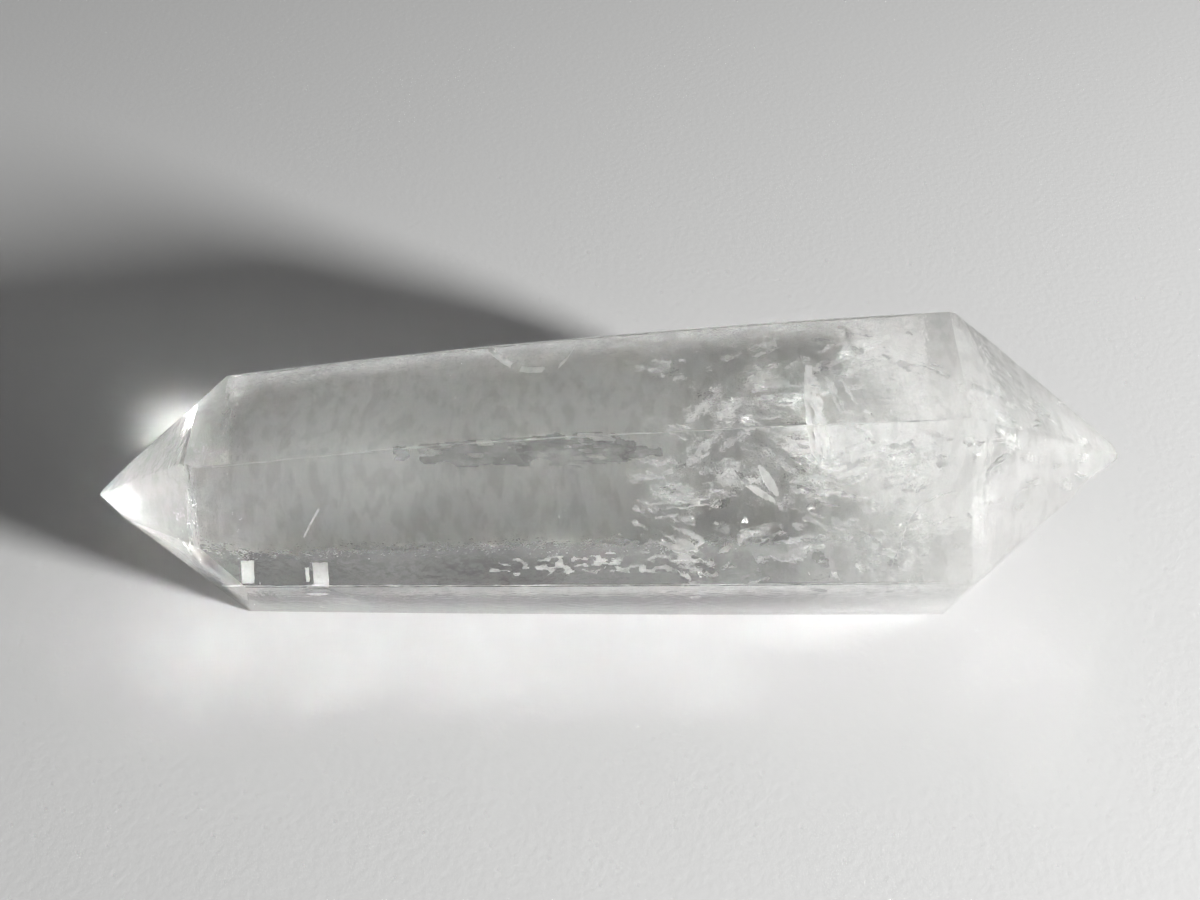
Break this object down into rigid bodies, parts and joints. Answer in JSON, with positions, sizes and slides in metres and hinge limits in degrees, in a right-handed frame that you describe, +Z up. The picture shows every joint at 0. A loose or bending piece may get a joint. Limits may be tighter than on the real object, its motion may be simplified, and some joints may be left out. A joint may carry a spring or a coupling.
{
  "type": "double terminated quartz point",
  "caption": "Clear six-sided crystal with a pyramid of flat faces at each end, flaring gently to one end and lying on one long face.",
  "frame": {"origin": "middle of the crystal's footprint on the surface it lies on", "axes": "+X along the crystal to its broad, milky end, +Z up from the face it rests on"},
  "size_m": [0.08, 0.025, 0.0216],
  "materials": {
    "clear_quartz": "vitreous, clear at the narrow end and milky at the broad end"
  },
  "bodies": {
    "root": {"quartz_point": "clear_quartz"}
  },
  "joints": []
}
